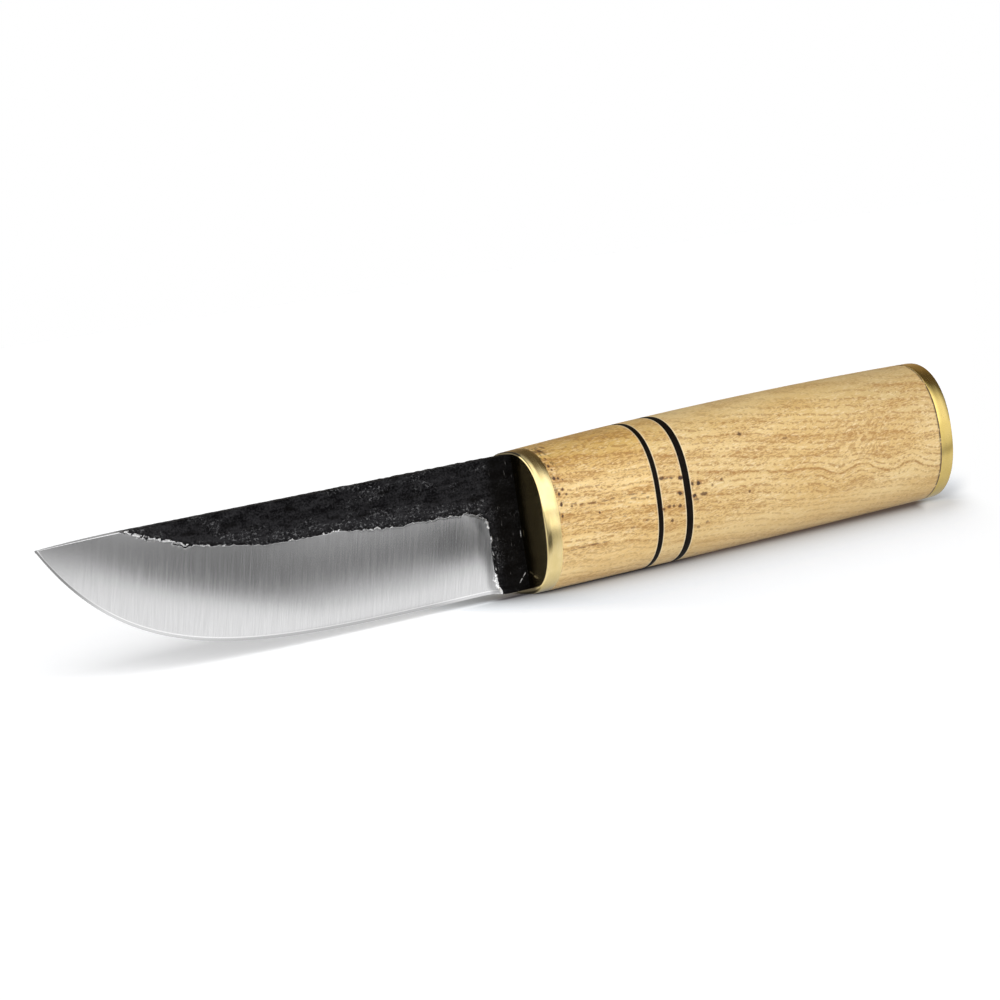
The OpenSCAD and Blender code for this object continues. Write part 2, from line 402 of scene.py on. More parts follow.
blade = {
    "long": 104.0,
    "thick": 4.0,
    "spineUp": 13.9,        # heights are about the handle axis
    "edgeDown": 12.6,
    "tipUp": 13.4,
    "edgeStraight": 0.58,   # shares of the length that draw the edge's curve
    "bellyAt": 0.845,
    "bellyDrop": 0.9,
    "bevelHigh": 17.5,
    "bevelBelly": 0.12,
    "honeHigh": 0.6,        # small sharpening bevel
    "honeThick": 0.5,
    "edgeHalf": 0.03,
    "ricassoLong": 7.5,
    "ricassoDown": 13.1,
    "heelLong": 2.5,
    "plungeLong": 3.0,
    "spineRound": 0.35,
    "flatHollow": 0.06,
    "scaleStep": 0.08,      # forge scale stands this far proud of the grind
    "scaleLip": 0.10,       # half width of the torn edge of the scale
    "border": (             # lower border of the forge scale, from the tip to the plunge
        (-104.0, 21.0), (-86.0, 13.35), (-81.8, 11.6), (-78.8, 10.7), (-73.9, 9.1), (-68.7, 8.2),
        (-63.5, 7.3), (-57.0, 6.25), (-50.5, 6.0), (-46.0, 6.15), (-40.4, 5.9), (-34.4, 5.05),
        (-28.0, 4.5), (-18.7, 4.5), (-9.2, 3.9), (0.0, 3.6),
    ),
    "plungeAt": -7.5,
    "plungeCorner": 5.0,
    "raggedness": ((3.1, 0.13), (1.15, 0.16), (0.42, 0.20)),   # lump length and height
    "hammer": ((8.0, 3.6, 0.045), (2.6, 1.5, 0.018), (0.8, 0.6, 0.016)),
    "dents": 16,
    "dentPlaces": (         # the larger ones: along, up, half length and half height
        (-30.2, 11.4, 1.2, 0.30), (-24.1, 9.5, 1.8, 0.30), (-19.2, 7.6, 1.6, 0.30),
        (-10.2, 6.5, 1.7, 0.60), (-42.3, 8.7, 1.4, 0.32), (-36.2, 7.9, 1.6, 0.30),
        (-73.6, 11.1, 2.0, 0.45), (-64.9, 11.1, 1.6, 0.40), (-60.6, 9.9, 1.7, 0.32),
        (-52.0, 12.0, 1.2, 0.55),
    ),
    "dentDeep": 0.13,
    "glints": ((-3.35, 12.2, 90, 0.8, 0.10), (-4.4, 3.6, 46, 1.5, 0.13)),  # scratches by the bolster, painted as bright glints
    "glintsOnBurr": (-37.0, -22.6),  # painted glints: the brightest places of the torn edge, where the bright burr is widened
    "columnStep": 0.2,
    "honeRows": (0.0, 0.2, 0.5, 1.0),
    "rows": (36, 3, 26, 4, 2),  # up the bevel, torn edge, scale, eased corner and half the spine
    "tangHigh": (14.0, 7.0),  # at the bolster and at the pommel
    "tangThick": 3.6,
    "tangReach": 110.0,
    "tangClear": 0.02,
}


def edgeLine(xs):
    heelX = -blade["ricassoLong"] - blade["plungeLong"]
    t = np.linspace(0, 1, 4001)[:, None]
    pull = np.array([
        (heelX, -blade["edgeDown"]),
        (-blade["edgeStraight"] * blade["long"], -blade["edgeDown"]),
        (-blade["bellyAt"] * blade["long"], -blade["edgeDown"] - blade["bellyDrop"]),
        (-blade["long"], blade["tipUp"]),
    ])
    shares = (1 - t) ** 3, 3 * (1 - t) ** 2 * t, 3 * (1 - t) * t * t, t ** 3
    curve = sum(share * point for share, point in zip(shares, pull))
    low = np.interp(-xs, -curve[:, 0], curve[:, 1])
    fall = np.clip((xs + blade["ricassoLong"]) / blade["heelLong"], 0, 1)
    return low - (blade["ricassoDown"] - blade["edgeDown"]) * np.sin(fall * math.pi / 2)


def spineLine(xs):
    s = np.maximum(0, (-xs / blade["long"] - 0.8) / 0.2)
    return blade["spineUp"] + (blade["tipUp"] - blade["spineUp"]) * s * s


def tornBorder(seed, xs):
    border = np.array(blade["border"])
    line = np.interp(xs, border[:, 0], border[:, 1])
    for k, (size, high) in enumerate(blade["raggedness"]):
        line = line + high * lumps(seed + k, xs / size, np.full_like(xs, 0.5 + k))
    return line


def hammered(seed, x, z):
    relief = np.zeros_like(x)
    for k, (sizeX, sizeZ, high) in enumerate(blade["hammer"]):
        relief += high * lumps(seed + 10 + k, x / sizeX, z / sizeZ)
    draw = np.random.default_rng(seed + 20)
    hollow = np.zeros_like(x)
    wobble = 0.35 * lumps(seed + 21, x / 1.1, z / 0.7)
    dents = [(*place, 1.0) for place in blade["dentPlaces"]]
    for _ in range(blade["dents"]):
        place = draw.uniform(-80, -4), draw.uniform(4.5, 13)
        dents.append((*place, draw.uniform(0.6, 1.8), draw.uniform(0.18, 0.40), draw.uniform(0.3, 0.7)))
    for cx, cz, halfLong, halfHigh, deep in dents:
        away = ((x - cx) / halfLong) ** 2 + ((z - cz) / halfHigh) ** 2
        hollow = np.maximum(hollow, deep * np.exp(-np.maximum(away * (1 + wobble), 0) ** 2))
    return (relief - blade["dentDeep"] * hollow) * smoothStep(-0.1, -0.8, x), hollow


def bladeSide(seed, xs):
    b = blade
    bottom, top = edgeLine(xs), spineLine(xs)
    full = top - bottom
    ease = np.minimum(b["spineRound"] * (0.3 + 0.7 * smoothStep(-88, -80, xs)), 0.1 * full)
    low = np.minimum(b["honeHigh"], 0.2 * full)
    lip = b["scaleLip"]
    torn = tornBorder(seed, xs)
    line = np.minimum(torn - bottom, full - ease - np.maximum(0.35, 0.12 * full))
    bevelRows, lipRows, forgedRows, easeRows, topRows = b["rows"]
    heights = [low * part for part in b["honeRows"]]
    heights += [low + (line - lip - low) * k / bevelRows for k in range(1, bevelRows + 1)]
    heights += [line - lip + 2 * lip * k / lipRows for k in range(1, lipRows + 1)]
    heights += [line + lip + (full - ease - line - lip) * k / forgedRows for k in range(1, forgedRows + 1)]
    h = np.array(heights)
    x = np.broadcast_to(xs, h.shape)
    z = bottom + h

    def plainHalf(height):
        return b["thick"] / 2 - b["flatHollow"] * (2 * height / full - 1) ** 2

    relief, hollow = hammered(seed, x, z)
    forged = plainHalf(h) + relief
    s = (h - b["honeHigh"]) / (b["bevelHigh"] - b["honeHigh"])
    lineHalf = plainHalf(np.minimum(b["bevelHigh"], full)) - b["scaleStep"]
    ground = b["honeThick"] / 2 + (lineHalf - b["honeThick"] / 2) * s + 4 * b["bevelBelly"] * s * (1 - s)
    honed = b["edgeHalf"] + (b["honeThick"] / 2 - b["edgeHalf"]) * h / b["honeHigh"]
    ground = np.minimum(np.where(h < b["honeHigh"], honed, ground), plainHalf(h))
    fromHeel = np.clip((xs + b["ricassoLong"] + b["plungeLong"]) / b["plungeLong"], 0, 1)
    grind = np.sqrt(1 - fromHeel ** 2)
    ground = forged + (ground - forged) * grind

    overLine = z - torn
    overPlunge = x - b["plungeAt"] - 0.12 * lumps(seed + 7, z / 0.9, x * 0)
    overPlunge = overPlunge - 0.9 * smoothStep(-10.8, -13.2, z)  # rounded lower corner
    corner = np.maximum(b["plungeCorner"] - np.abs(overLine - overPlunge), 0)
    side = np.maximum(overLine, overPlunge) + corner ** 2 / (4 * b["plungeCorner"])
    cover = smoothStep(-lip, lip, side)
    half = ground * (1 - cover) + forged * cover
    away = np.clip(1 - h / 0.3, 0, 1)  # eased lower corner of the ricasso
    half = half - (1 - grind) * 0.3 * (1 - np.sqrt(1 - away ** 2))

    rows = [np.stack([x, half, z, side, h, hollow], -1)]
    lastHalf, notes = half[-1], [side[-1], h[-1], hollow[-1] * 0]
    rough = 0.03 + 0.06 * smoothStep(-55, -25, xs)  # rougher towards the handle
    rough = rough * lumps(seed + 30, xs / 0.8, np.full_like(xs, 0.3)) * cover[-1]
    rough = rough * smoothStep(-0.2, -1.2, xs)
    for k in range(1, easeRows + 1):
        turn = math.pi / 2 * k / easeRows
        up = top - ease * (1 - math.sin(turn)) + rough * k / easeRows
        rows.append(np.stack([xs, lastHalf - ease * (1 - math.cos(turn)), up, *notes], -1)[None])
    for k in range(1, topRows):
        rows.append(np.stack([xs, (lastHalf - ease) * (1 - k / topRows), top + rough, *notes], -1)[None])
    return np.concatenate(rows)


def tangHigh(x):
    front, rear = blade["tangHigh"]
    return front + (rear - front) * x / blade["tangReach"]


def makeBlade(finish):
    b = blade
    step = b["columnStep"]
    xs = np.concatenate([
        np.arange(-b["long"] + step, -11.0, step), np.arange(-11.0, -5.0, 0.12),
        np.arange(-5.0, -0.01, 0.25), [0.0],
    ])
    near, far = bladeSide(100, xs), bladeSide(200, xs)
    edge = edgeLine(xs)
    centre = [near[:1].copy(), (near[-1:] + far[-1:]) / 2]
    centre[0][..., 1:3] = np.stack([xs * 0, edge], -1)
    centre[1][..., 1] = 0
    near[..., 1] *= -1
    ring = np.concatenate([centre[0], near, centre[1], far[::-1]])  # once round the section
    columns = list(ring.transpose(1, 0, 2))

    rowCount = near.shape[0]
    walk = np.concatenate([np.arange(0, rowCount + 2), np.arange(rowCount, 0, -1)]) / (rowCount + 1)
    acrossSign = np.concatenate([-np.ones(rowCount + 2), np.ones(rowCount)])

    def tangRing(x, inset):
        halfHigh = tangHigh(x) / 2 - (inset + b["tangClear"])
        halfThick = b["tangThick"] / 2 - inset - b["tangClear"]
        path = walk * (2 * halfThick + 2 * halfHigh)
        across = np.minimum(np.minimum(path, halfThick), np.maximum(2 * halfThick + 2 * halfHigh - path, 0))
        z = np.clip(path - halfThick, 0, 2 * halfHigh) - halfHigh
        ring = np.zeros((len(z), 6)) + (x, 0, 0, -5.0, 8.0, 0.0)
        ring[:, 1], ring[:, 2] = acrossSign * across, z
        return ring

    end = b["tangReach"]
    stops = (0.0, 0.0), (20.0, 0.0), (60.0, 0.0), (end - 0.25, 0.0), (end - 0.07, 0.08), (end, 0.3)
    columns += [tangRing(x, inset) for x, inset in stops]
    count = len(columns[0])
    points = np.concatenate(columns)
    ends = np.array([[-b["long"], 0, b["tipUp"], -5.0, 0.0, 0.0], [end, 0, 0, -5.0, 8.0, 0.0]])
    points = np.concatenate([points, ends])
    tip, tail = len(points) - 2, len(points) - 1
    faces = []
    for c in range(len(columns) - 1):
        a, d = c * count, (c + 1) * count
        for i in range(count):
            j = (i + 1) % count
            faces.append((a + i, d + i, d + j, a + j))
    last = (len(columns) - 1) * count
    for i in range(count):
        j = (i + 1) % count
        faces.append((tip, i, j))
        faces.append((tail, last + j, last + i))
    piece = finishMesh(
        "forgedBlade", points[:, :3] + (bolsterX, 0, axisZ), faces, finish, "blade", 42
    )
    for k, name in ((3, "scaleSide"), (4, "edgeUp"), (5, "hollow")):  # read by the steel's finish
        marks = piece.data.attributes.new(name, "FLOAT", "POINT")
        marks.data.foreach_set("value", points[:, k].astype(np.float32))


steelLook = {
    "satin": ((0.673, 0.673, 0.678), (0.754, 0.754, 0.759)),
    "satinRough": (0.14, 0.24),
    "honeShaded": ((0.26, 0.26, 0.26), (0.68, 0.68, 0.685)),  # at the tip and along the edge; the darker one at the tip is painted shade
    # painted highlight along the top of the sharpening bevel
    "honeEdgeHighlight": (0.96, 0.96, 0.96),
    # painted shade in the hollow of the plunge
    "plungeCorner": (0.20, 0.20, 0.20),
    "scale": ((0.0014, 0.0013, 0.0016), (0.0245, 0.0240, 0.0258)),
    "scaleRough": (0.45, 0.70),
    "scaleShine": 0.03,
    "speck": (0.160, 0.160, 0.165),
    "flake": (0.13, 0.13, 0.135),
    # near-black for painted shade in the hammer dents, also darkening the ricasso
    "paintedShade": (0.0014, 0.0012, 0.0010),
    "scuff": (0.15, 0.145, 0.14),
    # painted shadow of the scale's torn edge
    "tornRimShadow": (0.0025, 0.0023, 0.0023),
    "glint": (0.45, 0.45, 0.45),
    # bare steel of the burr, painted brighter than the satin as a highlight
    "burrAndGlint": ((0.70, 0.70, 0.70), (0.95, 0.95, 0.95)),
    "relief": 0.06,
}


def bladeFinish():
    finish, tree, shader = newFinish("forgedAndGroundSteel")
    times, plus, less, offFrom = sums(tree)
    place = millimetres(tree)
    parts = addNode(tree, "ShaderNodeSeparateXYZ", {0: place}).outputs
    along, up = parts[0], parts[2]
    side, edgeUp, hollow = (
        addNode(tree, "ShaderNodeAttribute", attribute_name=name).outputs["Fac"]
        for name in ("scaleSide", "edgeUp", "hollow")
    )
    crumbs = grainAt(tree, stretched(tree, place, (1.5, 1.5, 1.5)), 4.0, 0.65)
    broken = mixValue(tree, fadeTo(tree, along, -79.0, -87.0), 1.2, 5.0)  # scale breaks up near the tip
    torn = plus(side, times(less(crumbs, 0.5), broken))
    flakeAt = times(fadeTo(tree, along, -80.7, -80.2), fadeTo(tree, along, -76.7, -76.9))
    hang = plus(side, times(fadeTo(tree, along, -76.8, -77.8), 0.52))  # a flake lifts off the border
    flake = times(flakeAt, fadeTo(tree, calc(tree, "ABSOLUTE", hang), 0.20, 0.12))
    # painted highlight: a bright rim under the flake's lifted edge
    glintUnderFlake = times(flakeAt, fadeTo(tree, offFrom(hang, -0.36), 0.18, 0.08))
    scale = calc(tree, "MAXIMUM", fadeTo(tree, torn, -0.04, 0.04), flake)
    gaps = grainAt(tree, stretched(tree, place, (0.8, 0.8, 0.8)), 3.0, 0.6)  # bright burr along the torn scale, partly painted highlight
    gaps = less(gaps, times(fadeTo(tree, along, -74.0, -66.0), 0.07))
    for at in blade["glintsOnBurr"]:
        close = fadeTo(tree, offFrom(along, at), 2.2, 0.6)
        gaps = plus(gaps, times(close, 0.14))
    lip = fadeTo(tree, calc(tree, "ABSOLUTE", side), 0.22, 0.13)
    lip = times(lip, fadeTo(tree, gaps, 0.56, 0.48))  # painted shade: where there is no burr the step is painted black
    scale = calc(tree, "MAXIMUM", scale, times(lip, fadeTo(tree, along, -76.0, -72.0)))

    lines = stretched(tree, place, (6.0, 1.0, 0.12), (0, -10.4, 0))  # satin lines up the bevel
    lines = grainAt(tree, lines, 3.0, 0.6)
    calm = times(fadeTo(tree, up, 20.5, 23.5), 0.65)  # fainter high on the bevel
    lines = mixValue(tree, calm, lines, 0.5)
    steel = tint(tree, fadeTo(tree, lines, 0.3, 0.7), *steelLook["satin"])
    steelRough = rangeTo(tree, lines, *steelLook["satinRough"])
    # painted highlight: a bright line along the top of the sharpening bevel, faint at the tip
    honeEdgeHighlight = fadeTo(tree, offFrom(edgeUp, 0.66), 0.16, 0.06)
    honeEdgeHighlight = times(honeEdgeHighlight, rangeTo(tree, fadeTo(tree, along, -100.0, -92.0), 0.1, 0.8))
    # painted shade: the sharpening bevel is darker towards the tip
    honeShaded = tint(tree, fadeTo(tree, along, -103.0, -94.0), *steelLook["honeShaded"])
    steel = tint(tree, fadeTo(tree, edgeUp, 0.66, 0.5), steel, honeShaded)
    steel = tint(tree, honeEdgeHighlight, steel, steelLook["honeEdgeHighlight"])
    # painted shade: a darker band in the hollow of the plunge, beside the scale
    corner = times(fadeTo(tree, side, -2.0, -0.9), fadeTo(tree, along, -15.5, -12.5))
    steel = tint(tree, times(corner, 0.5), steel, steelLook["plungeCorner"])

    skin = grainAt(tree, stretched(tree, place, (2.0, 2.0, 2.6)), 4.0, 0.7)  # forge scale
    mottle = grainAt(tree, stretched(tree, place, (0.28, 0.5, 0.75)), 4.0, 0.6)
    patches = grainAt(tree, stretched(tree, place, (0.16, 0.3, 0.35)), 2.0, 0.5)
    belt = times(fadeTo(tree, side, 4.5, 0.0), fadeTo(tree, along, -10.0, -13.0))  # barer by the grind
    flakes = offFrom(grainAt(tree, stretched(tree, place, (0.8, 0.8, 1.3)), 3.0, 0.55), 0.5)
    flakes = times(fadeTo(tree, flakes, 0.030, 0.006), fadeTo(tree, skin, 0.46, 0.62))
    specks = fadeTo(tree, grainAt(tree, stretched(tree, place, (1.5, 1.5, 1.9)), 2.0, 0.6), 0.55, 0.66)
    bared = fadeTo(tree, plus(patches, times(belt, 0.24)), 0.50, 0.74)
    specks, flakes = (times(marks, bared) for marks in (specks, flakes))
    level = plus(times(mottle, 0.42), times(skin, 0.58))
    level = plus(level, times(belt, 0.06))
    black = tint(tree, fadeTo(tree, level, 0.40, 0.64), *steelLook["scale"])
    black = tint(tree, times(specks, 0.7), black, steelLook["speck"])
    black = tint(tree, times(flakes, 0.7), black, steelLook["flake"])
    # painted shade: the hammer dents are painted darker; the ricasso from the plunge to the bolster is
    # darkened with the same black
    dentShadeAndRicasso = calc(tree, "MAXIMUM", times(hollow, 0.9), fadeTo(tree, along, -10.5, -7.5))
    black = tint(tree, times(dentShadeAndRicasso, 0.82), black, steelLook["paintedShade"])
    scuffs = grainAt(tree, stretched(tree, place, (3.0, 1.5, 0.35)), 2.0, 0.6)  # scuffs on the ricasso
    scuffs = times(fadeTo(tree, scuffs, 0.66, 0.76), fadeTo(tree, along, -11.0, -9.0))
    black = tint(tree, times(scuffs, 0.8), black, steelLook["scuff"])
    # painted shadow: the scale is darker just above its torn border
    rimShadow = times(fadeTo(tree, torn, 0.75, 0.20), fadeTo(tree, mottle, 0.40, 0.55))
    black = tint(tree, times(rimShadow, 0.8), black, steelLook["tornRimShadow"])
    # painted highlights: bright strokes laid on the black ricasso
    for glintX, glintZ, lean, halfLong, halfWide in blade["glints"]:
        dx, dz = less(along, glintX), less(up, glintZ)
        c, s = math.cos(math.radians(lean)), math.sin(math.radians(lean))
        down = plus(times(dx, c), times(dz, s))
        down = fadeTo(tree, calc(tree, "ABSOLUTE", down), halfLong, 0.6 * halfLong)
        off = less(times(dz, c), times(dx, s))
        off = fadeTo(tree, calc(tree, "ABSOLUTE", off), halfWide, 0.4 * halfWide)
        glint = times(times(down, off), fadeTo(tree, skin, 0.42, 0.52))
        black = tint(tree, glint, black, steelLook["glint"])
    blackRough = rangeTo(tree, skin, *steelLook["scaleRough"])

    nearLine = offFrom(torn, -0.02)
    wide = rangeTo(tree, fadeTo(tree, gaps, 0.47, 0.70), 0.004, 0.36)
    # painted highlight: the bright burr is widened at the low end of the plunge
    plungeFootGlint = times(fadeTo(tree, edgeUp, 4.8, 2.5), fadeTo(tree, along, -12.5, -11.5))
    wide = plus(wide, times(plungeFootGlint, 0.22))
    # the burr is real bare steel, painted brighter and wider as a highlight
    burrAndGlint = fadeTo(tree, calc(tree, "DIVIDE", nearLine, wide), 1.0, 0.5)
    burrAndGlint = times(burrAndGlint, less(1.0, flake))
    burrAndGlint = calc(tree, "MAXIMUM", burrAndGlint, glintUnderFlake)
    bright = tint(tree, fadeTo(tree, crumbs, 0.40, 0.60), *steelLook["burrAndGlint"])

    colour = tint(tree, scale, steel, black)
    colour = tint(tree, burrAndGlint, colour, bright)
    cover = times(scale, less(1.0, burrAndGlint))
    rough = mixValue(tree, cover, steelRough, blackRough)
    metal = less(1.0, cover)
    setShader(tree, shader, colour=colour, metal=metal, rough=rough, shine=steelLook["scaleShine"])
    relief = mixValue(tree, scale, times(lines, 0.009), skin)
    bumpFrom(tree, shader, relief, steelLook["relief"], 0.8)
    return finish


makeBlade(bladeFinish())
print("blade built")

handle = {
    "long": 110.0,
    "wide": (20.6, 22.4, 21.4),      # at the bolster, at mid length and at the pommel
    "up": (14.3, 16.2, 16.15),
    "down": (14.3, 14.15, 13.55),
    "square": (2.5, 2.25),
    "pointsRound": 192,
    "ringStep": 1.2,
    "beddingGap": 0.7,
}


def alongHandle(three, x):
    front, mid, rear = three
    s = 2 * x / handle["long"] - 1
    return mid + (rear - front) / 2 * s + ((front + rear) / 2 - mid) * s * s


def turnsRound():
    return (np.arange(handle["pointsRound"]) + 0.5) * 2 * math.pi / handle["pointsRound"]


def handleRing(x, inset=0.0):
    halfWide = alongHandle(handle["wide"], x) / 2 - inset
    up, down = alongHandle(handle["up"], x) - inset, alongHandle(handle["down"], x) - inset
    front, rear = handle["square"]
    power = 2 / (front + (rear - front) * x / handle["long"])
    a = turnsRound()
    y = halfWide * np.sign(np.cos(a)) * np.abs(np.cos(a)) ** power
    z = (up - down) / 2 + (up + down) / 2 * np.sign(np.sin(a)) * np.abs(np.sin(a)) ** power
    ring = np.stack([np.full_like(y, x), y, z], -1) + (bolsterX, 0, axisZ)
    ring[:, 2] = np.maximum(ring[:, 2], min(inset, 0.05))  # flat that the knife stands on
    return ring


def slotRing(x, gap):
    halfHigh, halfThick = tangHigh(x) / 2 + gap, blade["tangThick"] / 2 + gap
    c, s = np.cos(turnsRound()), np.sin(turnsRound())
    reach = 1 / np.maximum(np.abs(c), np.abs(s))  # square, then drawn out to the slot
    ring = np.stack([np.full_like(c, x), c * reach * halfThick, s * reach * halfHigh], -1)
    return ring + (bolsterX, 0, axisZ)


def stackPiece(name, node, finish, frontEase, rearEase, gap):
    low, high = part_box(node)
    first, last = low.x / mm - bolsterX, high.x / mm - bolsterX
    rings = [handleRing(first, 4 * frontEase), handleRing(first, 1.6 * frontEase)]
    for k in range(5):
        turn = math.pi / 2 * k / 4
        rings.append(handleRing(first + frontEase * (1 - math.cos(turn)), frontEase * (1 - math.sin(turn))))
    start, stop = first + frontEase, last - rearEase
    steps = max(2, math.ceil((stop - start) / handle["ringStep"]))
    rings += [handleRing(start + (stop - start) * k / steps) for k in range(1, steps)]
    for k in range(5):
        turn = math.pi / 2 * (1 - k / 4)
        rings.append(handleRing(last - rearEase * (1 - math.cos(turn)), rearEase * (1 - math.sin(turn))))
    rings += [handleRing(last, 1.6 * rearEase), handleRing(last, 4 * rearEase)]
    rings += [slotRing(last, gap), slotRing(first, gap)]
    n = handle["pointsRound"]
    faces = []
    for r in range(len(rings)):
        a, b = r * n, (r + 1) % len(rings) * n
        faces += [(a + i, a + (i + 1) % n, b + (i + 1) % n, b + i) for i in range(n)]
    finishMesh(name, np.concatenate(rings), faces, finish, node)


brass = {
    "bolster": ((0.80, 0.635, 0.29), (0.86, 0.70, 0.36)),   # dull and bright
    "pommel": ((0.77, 0.575, 0.185), (0.83, 0.63, 0.235)),
    "speck": (0.45, 0.30, 0.12),
    # painted reflection of the black blade, and painted shade, on the bolster's face
    "paintedShade": (0.02, 0.014, 0.008),
    "metal": 0.97,
    "rough": (0.07, 0.17),
    "relief": 0.006,
}


def brassFinish(name, dull, bright, cornerShaded):
    finish, tree, shader = newFinish(name)
    times, plus = sums(tree)[:2]
    place = millimetres(tree)
    lines = grainAt(tree, stretched(tree, place, (9.0, 0.25, 0.25)), 2.0, 0.6)  # sanding lines
    smear = grainAt(tree, stretched(tree, place, (0.35, 0.2, 0.2)), 3.0, 0.6)
    specks = fadeTo(tree, grainAt(tree, stretched(tree, place, (2.6, 2.6, 2.6)), 2.0, 0.5), 0.66, 0.74)
    colour = tint(tree, fadeTo(tree, smear, 0.3, 0.7), dull, bright)
    colour = tint(tree, times(lines, 0.3), colour, [0.86 * c for c in dull])
    colour = tint(tree, times(specks, 0.35), colour, brass["speck"])
    rough = plus(rangeTo(tree, lines, *brass["rough"]), times(smear, 0.05))
    if cornerShaded:  # painted shade: the face is painted dark in the corner against the blade, where it mirrors the black ricasso, and along its top edge by the spine
        x, y, z = addNode(tree, "ShaderNodeSeparateXYZ", {0: place}).outputs
        onFace = fadeTo(tree, x, bolsterX + 0.25, bolsterX + 0.05)
        close = plus(calc(tree, "ABSOLUTE", y), times(smear, 2.0))
        paintedShade = times(onFace, fadeTo(tree, close, 7.0, 4.0))
        topEdge = times(fadeTo(tree, x, bolsterX + 0.8, bolsterX + 0.4), fadeTo(tree, z, 24.0, 26.0))
        offSpine = calc(tree, "ABSOLUTE", plus(y, 1.8))
        topEdge = times(topEdge, fadeTo(tree, offSpine, 3.4, 2.6))
        paintedShade = calc(tree, "MAXIMUM", paintedShade, topEdge)
        colour = tint(tree, times(paintedShade, 0.9), colour, brass["paintedShade"])
    setShader(tree, shader, colour=colour, metal=brass["metal"], rough=rough)
    bumpFrom(tree, shader, lines, brass["relief"], 0.6)
    return finish


wood = {
    "light": (0.770, 0.585, 0.290),
    "middle": (0.690, 0.485, 0.205),
    "ringLine": (0.545, 0.300, 0.075),
    "dash": (0.370, 0.180, 0.045),
    "pale": (0.870, 0.740, 0.500),
    "warm": (0.600, 0.360, 0.066),
    "pore": (0.036, 0.014, 0.006),
    "poreRim": (0.300, 0.125, 0.035),
    "dust": (0.006, 0.004, 0.003),
    "ringWide": 3.4,          # growth rings, in millimetres
    "heart": (5.0, -52.0),    # centre of the rings in the log, across and up
    "wobble": (               # waviness of the rings: lumps per millimetre, height and seed
        ((0.03, 0.06, 0.06), 2.0, 3.0), ((0.11, 0.14, 0.14), 2.0, 7.0), ((0.5, 0.5, 0.5), 0.6, 11.0),
    ),
    "curl": (79.4, 14.0, 0.75),   # waves of the grain by the pommel: place, length and height
    "ripple": (84.0, 18.0),       # the finer ripple there: along and up
    "rear": (0.83, 0.83, 0.84),   # deeper towards the pommel
    "rough": (0.34, 0.46),
    "shine": 0.45,
    "relief": 0.012,
}


